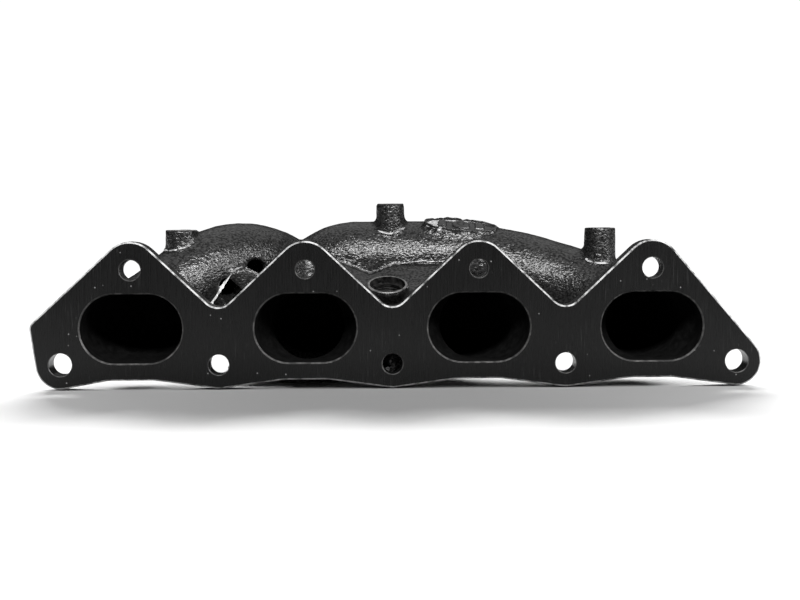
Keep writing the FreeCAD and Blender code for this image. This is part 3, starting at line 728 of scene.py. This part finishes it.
def badge_piece(name):
    """An oval pad with a raised rim; a plain hexagon and two bars stand in it."""
    points, _ = mesh_arrays(NODES[name])
    roll = Matrix.Rotation(math.radians(BADGE_ROLL), 3, "Y")
    turn = roll @ Matrix.Rotation(math.radians(BADGE_TILT), 3, "X")
    u, v, w = (np.array(turn @ Vector(axis)) for axis in ((1, 0, 0), (0, 1, 0), (0, 0, 1)))
    top = (points @ w).max()
    face = points[points @ w > top - 0.05 * MM]
    low_u, high_u = (face @ u).min(), (face @ u).max()
    low_v, high_v = (face @ v).min(), (face @ v).max()
    half_length, half_width = (high_u - low_u) / 2, (high_v - low_v) / 2
    window = Window(points.min(0), points.max(0), FINE_VOXEL, margin=12)
    x, y, z = window.axes()
    a = x * u[0] + y * u[1] + z * u[2] - (low_u + high_u) / 2
    b = x * v[0] + y * v[1] + z * v[2] - (low_v + high_v) / 2
    c = x * w[0] + y * w[1] + z * w[2] - top
    swell = swell_on(window)
    oval = ellipse_distance(a, b, half_length, half_width)
    flare = 0.10 * np.maximum(-c - 1 * MM, 0)
    block = np.maximum(oval - flare + 2.2 * (swell + 0.25 * MM * ROUGH.on_cells(window)), c)
    dish = np.maximum(oval + BADGE_RIM, -(c + BADGE_RECESS))
    pad = np.maximum(block, -dish)
    slanted = np.maximum(np.abs(a / 2 + b * 0.866), np.abs(a / 2 - b * 0.866))
    hexagon = np.maximum(np.abs(a), slanted) - BADGE_HEXAGON
    out, bar_width, bar_height = BADGE_BARS
    bars = np.maximum(np.abs(np.abs(a) - out) - bar_width, np.abs(b) - bar_height)
    emblem = np.maximum(np.minimum(hexagon, bars), np.maximum(c + 0.1 * MM, -c - 4 * MM))
    groove = np.abs(np.sqrt(a * a + b * b) - 2.0 * MM) - 0.6 * MM
    emblem = np.maximum(emblem, -np.maximum(groove, -c - 0.7 * MM))
    pad = smooth_union(pad, emblem, 0.5 * MM)
    log_points, log_triangles = mesh_arrays(NODES["runner_4"])
    log = window.read(level_set(log_points, log_triangles, voxel=FINE_VOXEL, band=16))
    joined = smooth_union(pad, log, 3.5 * MM) + 0.8 * swell
    near_oval = np.maximum(oval - 3.2 * MM - 0.12 * np.maximum(-c, 0), -log - 1.5 * MM)
    field = np.maximum(joined, near_oval)
    surface, quads = drop_crumbs(*window.surface(field.astype(np.float32)))
    item = new_object(name + "_cast", surface.tolist(), quads.tolist())
    middle = surface[quads].mean(1)
    along, across = middle @ u - (low_u + high_u) / 2, middle @ v - (low_v + high_v) / 2
    within = ellipse_distance(along, across, half_length, half_width) < -0.2 * MM
    on_top = within & (middle @ w > top - 3.2 * MM)
    # The recess floor gets painted light: a much lighter copy of the smooth coating.
    floor_painted_light = on_top & (middle @ w < top - 0.8 * BADGE_RECESS)
    item.data.polygons.foreach_set("material_index", on_top.astype(np.int32) + floor_painted_light)
    materials = [CAST_IRON, SMOOTH_IRON, BADGE_FLOOR_LIT]
    return finish_piece(item, [name], materials, crease=50)


# ---------------------------------------------------------------- machined flanges

MOUTH_HALF = (29 * MM, 23 * MM)            # half width and half height of a block round a mouth
# The outline chamfers are worn edges with a painted highlight, the port mouths get painted shade,
# and the chamfers round holes and ports are partly a painted highlight.
GROUND, RIM, WORN_AND_HIGHLIGHT, PAINTED_SHADE_SLOT, HOLE_EDGE_HIGHLIGHT = range(5)       # a flange's materials, in order


def stud_holes(axis):
    """(centre, radius) of every hole in the patterns that face along an axis."""
    holes = []
    for mount in MOUNTS.values():
        if mount["kind"] != "bolt_pattern" or abs(mount["axis"][axis]) < 0.9:
            continue
        dims = mount["dims"]
        across, up = [k for k in range(3) if k != axis]
        for sx in (-0.5, 0.5):
            for sy in (-0.5, 0.5) if "spacing_y_mm" in dims else (0,):
                centre = list(mount["pos_m"])
                centre[across] += sx * dims["spacing_x_mm"] * MM
                centre[up] += sy * dims.get("spacing_y_mm", 0) * MM
                holes.append((centre, dims["hole_r_mm"] * MM))
    return holes


def flange_piece(name, axis, face_level, back_level):
    """A flange with a ground face and drilled holes; its rim is rough as cast."""
    low, high = sorted((face_level, back_level))
    across, up = [k for k in range(3) if k != axis]
    holes = stud_holes(axis)
    mouths = mouth_centres(axis)
    bm = bmesh.new()
    bm.from_mesh(NODES[name].data)
    bmesh.ops.remove_doubles(bm, verts=bm.verts, dist=0.003 * MM)

    def in_hole(point):
        return any(
            math.hypot(point[across] - c[across], point[up] - c[up]) < r + 1.2 * MM
            for c, r in holes
        )

    def is_rim(face):
        return abs(face.normal[axis]) < 0.2 and not in_hole(face.calc_center_median())

    def mouths_round(point):
        return [
            c for c in mouths
            if abs(point[across] - c[across]) < MOUTH_HALF[0]
            and abs(point[up] - c[up]) < MOUTH_HALF[1]
        ]

    def in_mouth(point, normal):
        return any(
            (c[across] - point[across]) * normal[across] + (c[up] - point[up]) * normal[up] > 0
            for c in mouths_round(point)
        )

    for _ in range(6):
        rim = [f for f in bm.faces if is_rim(f)]
        edges = {e for f in rim for e in f.edges if e.calc_length() > 2.4 * MM}
        if not edges:
            break
        bmesh.ops.subdivide_edges(bm, edges=list(edges), cuts=1)
        bmesh.ops.triangulate(bm, faces=[f for f in bm.faces if len(f.verts) > 3])
    bm.normal_update()
    rim_verts = {v for f in bm.faces if is_rim(f) for v in f.verts}
    moved = [
        v for v in rim_verts
        if low + 1.0 * MM < v.co[axis] < high - 0.8 * MM and all(is_rim(f) for f in v.link_faces)
    ]
    places = np.array([v.co for v in moved])
    lift = -0.9 * swell_at(places) + 0.10 * MM * ROUGH.at(places)
    for vert, amount in zip(moved, lift):
        vert.co += vert.normal * float(amount)
    for face in bm.faces:
        centre = face.calc_center_median()
        ground = abs(centre[axis] - face_level) < 0.9 * MM
        square_on = abs(face.normal[axis])
        face.smooth = square_on < 0.97
        if ground and 0.3 < square_on < 0.97:
            outline = not in_hole(centre) and not mouths_round(centre)
            # Outline chamfers: worn edges that also carry a painted highlight; chamfers round holes
            # and ports: a lighter tone, partly a painted highlight.
            face.material_index = WORN_AND_HIGHLIGHT if outline else HOLE_EDGE_HIGHLIGHT
        elif ground or in_hole(centre):
            face.material_index = GROUND
        else:
            # Faces inside the port mouths get painted shade.
            face.material_index = PAINTED_SHADE_SLOT if in_mouth(centre, face.normal) else RIM
    item = new_object(name + "_machined", [], [])
    bm.to_mesh(item.data)
    bm.free()
    imported_normals = item.data.attributes.get("custom_normal")
    if imported_normals:
        item.data.attributes.remove(imported_normals)
    materials = [GROUND_IRON, CAST_IRON, WORN_EDGE_AND_HIGHLIGHT, PASSAGE_PAINTED_SHADE, EDGE_IRON_AND_HIGHLIGHT]
    return finish_piece(item, [name], materials, crease=28, keep_flat=True)


# ---------------------------------------------------------------- materials

class Shader:
    """A node material, with a short way to add a node and wire its inputs."""

    def __init__(self, name):
        self.material = bpy.data.materials.new(name)
        self.material.use_nodes = True
        self.tree = self.material.node_tree
        self.tree.nodes.clear()

    def add(self, kind, inputs=None, **settings):
        node = self.tree.nodes.new(kind)
        for key, value in settings.items():
            setattr(node, key, value)
        for key, value in (inputs or {}).items():
            socket = node.inputs[key]
            if isinstance(value, bpy.types.NodeSocket):
                self.tree.links.new(value, socket)
            else:
                socket.default_value = value
        return node.outputs[0] if node.outputs else None

    def math(self, operation, first, second=0.0):
        return self.add("ShaderNodeMath", {0: first, 1: second}, operation=operation)

    def span(self, value, low, high, to_low=0.0, to_high=1.0):
        """Maps low to high onto to_low to to_high, clamped."""
        inputs = {"Value": value, "From Min": low, "From Max": high,
                  "To Min": to_low, "To Max": to_high}
        return self.add("ShaderNodeMapRange", inputs)

    def blend(self, share, first, second):
        node = self.tree.nodes.new("ShaderNodeMix")
        node.data_type = "RGBA"
        self.tree.links.new(share, node.inputs["Factor"])
        for key, value in (("A", first), ("B", second)):
            socket = [s for s in node.inputs if s.name == key and s.type == "RGBA"][0]
            if isinstance(value, bpy.types.NodeSocket):
                self.tree.links.new(value, socket)
            else:
                socket.default_value = value
        return [s for s in node.outputs if s.type == "RGBA"][0]

    def place(self, stretch=(1, 1, 1), turn=(0, 0, 0)):
        coordinates = self.tree.nodes.new("ShaderNodeTexCoord").outputs["Object"]
        inputs = {"Vector": coordinates, "Scale": stretch, "Rotation": turn}
        return self.add("ShaderNodeMapping", inputs)

    def noise(self, scale, detail=2.0, rough=0.5, vector=None):
        inputs = {"Vector": vector or self.place(), "Scale": scale, "Detail": detail,
                  "Roughness": rough}
        return self.add("ShaderNodeTexNoise", inputs)

    def cells(self, scale, vector=None, **settings):
        inputs = {"Vector": vector or self.place(), "Scale": scale}
        return self.add("ShaderNodeTexVoronoi", inputs, **settings)

    def bump(self, height, distance, strength=1.0, normal=None):
        inputs = {"Height": height, "Distance": distance, "Strength": strength}
        if normal is not None:
            inputs["Normal"] = normal
        return self.add("ShaderNodeBump", inputs)

    def finish(self, colour, roughness, normal, specular):
        inputs = {"Base Color": colour, "Roughness": roughness, "Normal": normal,
                  "Specular IOR Level": specular}
        surface = self.add("ShaderNodeBsdfPrincipled", inputs)
        self.add("ShaderNodeOutputMaterial", {"Surface": surface})
        return self.material


def grey(value, warmth=0.0):
    return (value * (1 + warmth), value, value * (1 - warmth), 1.0)


def edge_wear(shader, start, stop):
    """How strongly a point stands on a worn outer edge, broken up by noise."""
    pointiness = shader.tree.nodes.new("ShaderNodeNewGeometry").outputs["Pointiness"]
    edge = shader.span(pointiness, start, stop)
    return shader.math("MULTIPLY", edge, shader.span(shader.noise(260, 3, 0.6), 0.40, 0.62))


GRAIN_HEIGHT = 0.36 * MM


def cast_iron():
    """Black high-heat coating over a sand-cast skin: grain about a millimetre across, pits and
    swells, a duller bloom in patches, and bare grey where outer edges have worn."""
    shader = Shader("cast_iron_coated")
    flat = shader.place((0.8, 1, 1.25))
    grain = shader.noise(860, 1.2, 0.5, flat)
    pits = shader.cells(640, flat, feature="SMOOTH_F1")
    coarse = shader.noise(210, 3.0, 0.6)
    bloom = shader.noise(38, 3.0, 0.6)
    height = shader.math("ADD", shader.math("MULTIPLY", grain, 0.9),
                         shader.math("MULTIPLY", pits, 0.5))
    fine = shader.bump(height, GRAIN_HEIGHT)
    normal = shader.bump(coarse, 0.14 * MM, 1.0, fine)
    skin = shader.blend(shader.span(grain, 0.38, 0.62), grey(0.004), grey(0.013, 0.01))
    dusty = shader.blend(shader.span(bloom, 0.45, 0.75, 0.0, 0.4), skin, grey(0.017, 0.01))
    colour = shader.blend(edge_wear(shader, 0.54, 0.64), dusty, grey(0.05, 0.01))
    roughness = shader.span(shader.math("ADD", bloom, grain), 0.7, 1.3, 0.25, 0.35)
    return shader.finish(colour, roughness, normal, shader.span(grain, 0.38, 0.60, 0.18, 0.66))


def smooth_iron(name, dark, light):
    """The same coating where the mould was smooth, on the badge; a much lighter copy of it paints
    light on the badge's recess floor.
    """
    shader = Shader(name)
    grain = shader.noise(700, 2.0, 0.6)
    skin = shader.blend(shader.span(grain, 0.35, 0.65), grey(dark), grey(light))
    colour = shader.blend(edge_wear(shader, 0.53, 0.62), skin, grey(0.10))
    roughness = shader.span(grain, 0.3, 0.7, 0.26, 0.40)
    return shader.finish(colour, roughness, shader.bump(grain, 0.10 * MM), 0.45)


def passage_painted_shade():
    """Painted shade inside the gas passages: the bare casting coloured near black all over, for the
    shade deep in the ports.
    """
    shader = Shader("passage_painted_shade")
    coarse = shader.noise(260, 3.0, 0.6)
    colour = shader.blend(shader.span(coarse, 0.4, 0.7), grey(0.0012), grey(0.004))
    roughness = shader.span(coarse, 0.3, 0.7, 0.75, 0.95)
    return shader.finish(colour, roughness, shader.bump(coarse, 0.5 * MM), 0.05)


def ground_iron():
    """The same coating over a ground face: fine up-and-down scratches, scuffs and specks."""
    shader = Shader("machined_face_coated")
    upright = shader.place((1, 1, 0.03), (0, math.radians(4), 0))
    scratches = shader.noise(1700, 2.0, 0.7, upright)
    sparse = shader.noise(55, 2.0, 0.5)
    lines = shader.math("MULTIPLY", shader.span(scratches, 0.60, 0.72),
                        shader.span(sparse, 0.5, 0.66))
    scuffs = shader.math("MULTIPLY", shader.span(shader.noise(420, 3.0, 0.7), 0.62, 0.74),
                         shader.span(shader.noise(60, 2.0, 0.5), 0.56, 0.66))
    specks = shader.span(shader.cells(130, feature="F1"), 0.03, 0.06, 1.0, 0.0)
    cloud = shader.noise(12, 2.0, 0.5)
    base = shader.blend(shader.span(cloud, 0.4, 0.7), grey(0.0030), grey(0.0044))
    lined = shader.blend(shader.math("MULTIPLY", lines, 0.40), base, grey(0.045))
    scuffed = shader.blend(shader.math("MULTIPLY", scuffs, 0.40), lined, grey(0.060))
    dotted = shader.blend(shader.math("MULTIPLY", specks, 0.45), scuffed, grey(0.30))
    roughness = shader.span(scratches, 0.35, 0.65, 0.24, 0.34)
    normal = shader.bump(scratches, 0.008 * MM)
    return shader.finish(dotted, roughness, normal, 0.20)


def worn_and_highlight_iron(name, dark, light):
    """Edges and ridges lightened in most places: partly worn bare, partly a painted highlight for
    the light they catch.
    """
    shader = Shader(name)
    patches = shader.noise(190, 3.0, 0.65)
    grain = shader.noise(900, 2.0, 0.6)
    colour = shader.blend(shader.span(patches, 0.36, 0.56), grey(dark), grey(light))
    roughness = shader.span(grain, 0.3, 0.7, 0.38, 0.6)
    return shader.finish(colour, roughness, shader.bump(grain, 0.05 * MM), 0.6)


def turned_iron(name, dark, light, specular):
    """Boss tops, tapped holes and chamfers: the coating is thin here, with turning marks. Its
    darker copy paints shade down the tapped holes, and its copy on the chamfers is lightened partly
    as a painted highlight.
    """
    shader = Shader(name)
    marks = shader.noise(900, 2.0, 0.6, shader.place((1, 1, 0.3)))
    blotch = shader.noise(300, 3.0, 0.6)
    base = shader.blend(shader.span(blotch, 0.4, 0.7), grey(dark), grey(light, 0.02))
    colour = shader.blend(edge_wear(shader, 0.55, 0.66), base, grey(2 * light, 0.01))
    roughness = shader.span(blotch, 0.3, 0.7, 0.30, 0.46)
    return shader.finish(colour, roughness, shader.bump(marks, 0.03 * MM), specular)


CAST_IRON = cast_iron()
# Painted shade in the gas passages.
PASSAGE_PAINTED_SHADE = passage_painted_shade()
GROUND_IRON = ground_iron()
SMOOTH_IRON = smooth_iron("smooth_iron_coated", 0.005, 0.012)
# Painted light on the badge's recess floor: a lit copy of the smooth coating.
BADGE_FLOOR_LIT = smooth_iron("badge_floor_painted_light", 0.16, 0.34)
# Worn outer edges, lightened further as a painted highlight for the light they catch.
WORN_EDGE_AND_HIGHLIGHT = worn_and_highlight_iron("worn_edge_and_painted_highlight", 0.03, 0.36)
# Painted highlight on the parting flash, standing in for the light its ridge catches.
FLASH_PAINTED_HIGHLIGHT = worn_and_highlight_iron("flash_painted_highlight", 0.16, 0.60)
TURNED_IRON = turned_iron("turned_iron_coated", 0.03, 0.12, 0.5)
# Chamfers round the holes and ports: a lighter tone that is partly a painted highlight for the
# light they catch.
EDGE_IRON_AND_HIGHLIGHT = turned_iron("edge_iron_painted_highlight", 0.012, 0.055, 0.4)
# Painted shade down the tapped holes: a darker copy of the turned iron.
HOLE_SHADE_IRON = turned_iron("tapped_iron_painted_shade", 0.003, 0.024, 0.06)


# ---------------------------------------------------------------- the pieces

for cast_node in CAST:
    cast_piece(cast_node)
for boss in UPRIGHT_BOSSES:
    upright_boss(boss)
sensor_boss("oxygen_sensor_boss")
badge_piece("badge_pad")
flange_piece("head_flange", 1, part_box("head_flange")[0].y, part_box("head_flange")[1].y)
flange_piece("turbo_flange", 2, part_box("turbo_flange")[0].z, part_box("turbo_flange")[1].z)


# ---------------------------------------------------------------- studio

def make_floor():
    level = cad_bounds[0].z
    mesh = bpy.data.meshes.new("studio_floor")
    near, far, side = -0.42, 1.6, 1.8
    corners = [(-side, near, level), (side, near, level), (side, far, level), (-side, far, level)]
    mesh.from_pydata(corners, [], [(0, 1, 2, 3)])
    floor = bpy.data.objects.new("studio_floor", mesh)
    bpy.context.scene.collection.objects.link(floor)
    shader = Shader("studio_floor")
    tone = shader.blend(shader.span(shader.noise(3.0), 0.3, 0.7), grey(0.86), grey(0.88))
    surface = shader.add("ShaderNodeBsdfDiffuse", {"Color": tone})
    shader.add("ShaderNodeOutputMaterial", {"Surface": surface})
    mesh.materials.append(shader.material)
    return floor


def light_up(item, group):
    """Puts a light in the scene, shining on one group of objects."""
    bpy.context.scene.collection.objects.link(item)
    item.light_linking.receiver_collection = group


def add_sun(name, strength, spread, turn, group):
    """A broad, even light: spread is how wide it looks from the object, in degrees."""
    lamp = bpy.data.lights.new(name, "SUN")
    lamp.energy = strength
    lamp.angle = math.radians(spread)
    item = bpy.data.objects.new(name, lamp)
    item.rotation_euler = [math.radians(angle) for angle in turn]
    light_up(item, group)


def add_softbox(name, watts, size, place, group):
    """A rectangular light that faces the middle of the object."""
    lamp = bpy.data.lights.new(name, "AREA")
    lamp.shape = "RECTANGLE"
    lamp.size, lamp.size_y = size
    lamp.energy = watts
    item = bpy.data.objects.new(name, lamp)
    item.location = place
    middle = (cad_bounds[0] + cad_bounds[1]) / 2
    item.rotation_euler = (middle - Vector(place)).to_track_quat("-Z", "Y").to_euler()
    light_up(item, group)


def make_world():
    """White behind the object, and a dim grey room for everything else."""
    world = bpy.data.worlds.new("studio")
    bpy.context.scene.world = world
    world.use_nodes = True
    tree = world.node_tree
    tree.nodes.clear()
    backdrop = tree.nodes.new("ShaderNodeBackground")
    backdrop.inputs["Color"].default_value = (1, 1, 1, 1)
    backdrop.inputs["Strength"].default_value = 1.05
    room = tree.nodes.new("ShaderNodeBackground")
    room.inputs["Color"].default_value = (1, 1, 1, 1)
    room.inputs["Strength"].default_value = ROOM_LIGHT
    seen = tree.nodes.new("ShaderNodeLightPath").outputs["Is Camera Ray"]
    mix = tree.nodes.new("ShaderNodeMixShader")
    tree.links.new(seen, mix.inputs[0])
    tree.links.new(room.outputs[0], mix.inputs[1])
    tree.links.new(backdrop.outputs[0], mix.inputs[2])
    output = tree.nodes.new("ShaderNodeOutputWorld")
    tree.links.new(mix.outputs[0], output.inputs["Surface"])


def make_camera():
    """Where the photographer stood: level with the ports, a little above them."""
    yaw, pitch, roll = (math.radians(angle) for angle in (0.95, 3.73, -0.27))
    level = math.cos(pitch)
    forward = Vector((math.sin(yaw) * level, math.cos(yaw) * level, -math.sin(pitch)))
    right = Vector((math.cos(yaw), -math.sin(yaw), 0))
    up = right.cross(forward)
    tilted_right = right * math.cos(roll) + up * math.sin(roll)
    tilted_up = up * math.cos(roll) - right * math.sin(roll)
    lens = bpy.data.cameras.new("camera")
    lens.sensor_width = 36
    lens.lens = 56.6
    lens.clip_start, lens.clip_end = 0.01, 20
    camera = bpy.data.objects.new("camera", lens)
    camera.matrix_world = Matrix((tilted_right, tilted_up, -forward)).transposed().to_4x4()
    camera.location = (-0.007, -0.670, 0.0584)
    bpy.context.scene.collection.objects.link(camera)
    bpy.context.scene.camera = camera


studio_floor = make_floor()
floor_group = bpy.data.collections.new("lit_floor")
floor_group.objects.link(studio_floor)
object_group = bpy.data.collections.new("lit_object")
object_group.objects.link(studio_floor)
object_group.collection_objects[0].light_linking.link_state = "EXCLUDE"
make_world()
for heading in (-24, -12, 0, 12, 24):      # low lamps from behind, for the long soft shadow
    add_sun("backdrop_%d" % heading, 1.5, 11, (-62.5, 0, heading), floor_group)
add_softbox("floor_left", 0.30, (0.12, 0.08), (-0.36, -0.12, 0.09), floor_group)
add_softbox("floor_right", 0.42, (0.12, 0.08), (0.37, -0.12, 0.09), floor_group)
add_sun("floor_fill", 0.68, 70, (38, 0, 0), floor_group)
add_sun("overhead", 0.80, 80, (-18, 0, 0), object_group)
add_softbox("front_softbox", 23, (0.95, 0.13), (0.02, -0.74, 0.66), object_group)
add_softbox("right_softbox", 7.5, (0.40, 0.30), (0.85, -0.50, 0.52), object_group)
make_camera()
bpy.context.scene.view_settings.view_transform = "Standard"
